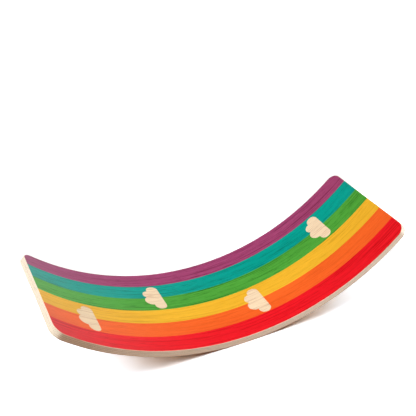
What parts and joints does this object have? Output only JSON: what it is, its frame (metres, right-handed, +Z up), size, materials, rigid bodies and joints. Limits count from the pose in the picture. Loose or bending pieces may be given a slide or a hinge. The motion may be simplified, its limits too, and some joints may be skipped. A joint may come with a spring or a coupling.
{
  "type": "curved balance board",
  "caption": "Bent plywood rocker board for a child, with a rainbow of painted bands and bare clouds on its concave face and plain birch on its convex face.",
  "frame": {"origin": "on the floor under the middle of the board, where the convex face rests", "axes": "+X along the board, +Y across it towards the purple band, +Z up out of the hollow"},
  "size_m": [0.8256, 0.3, 0.1811],
  "materials": {
    "birch_veneer": "clear matt lacquer, fine lengthwise grain",
    "long_grain_ply": "sanded edge of a ply with its grain along the board",
    "cross_grain_ply": "sanded end grain of a ply with its grain across the board",
    "glue": "cured glue film",
    "purple_paint": "thin satin paint with the wood grain showing through",
    "teal_paint": "thin satin paint with the wood grain showing through",
    "green_paint": "thin satin paint with the wood grain showing through",
    "yellow_paint": "thin satin paint with the wood grain showing through",
    "orange_paint": "thin satin paint with the wood grain showing through",
    "red_paint": "thin satin paint with the wood grain showing through"
  },
  "bodies": {
    "root": {"face_veneer": "birch_veneer", "core_ply_1": "cross_grain_ply", "core_ply_2": "long_grain_ply", "core_ply_3": "cross_grain_ply", "core_ply_4": "long_grain_ply", "core_ply_5": "cross_grain_ply", "core_ply_6": "long_grain_ply", "core_ply_7": "cross_grain_ply", "back_veneer": "birch_veneer", "glue_line_1": "glue", "glue_line_2": "glue", "glue_line_3": "glue", "glue_line_4": "glue", "glue_line_5": "glue", "glue_line_6": "glue", "glue_line_7": "glue", "glue_line_8": "glue", "purple_band": "purple_paint", "teal_band": "teal_paint", "green_band": "green_paint", "yellow_band": "yellow_paint", "orange_band": "orange_paint", "red_band": "red_paint"}
  },
  "joints": []
}
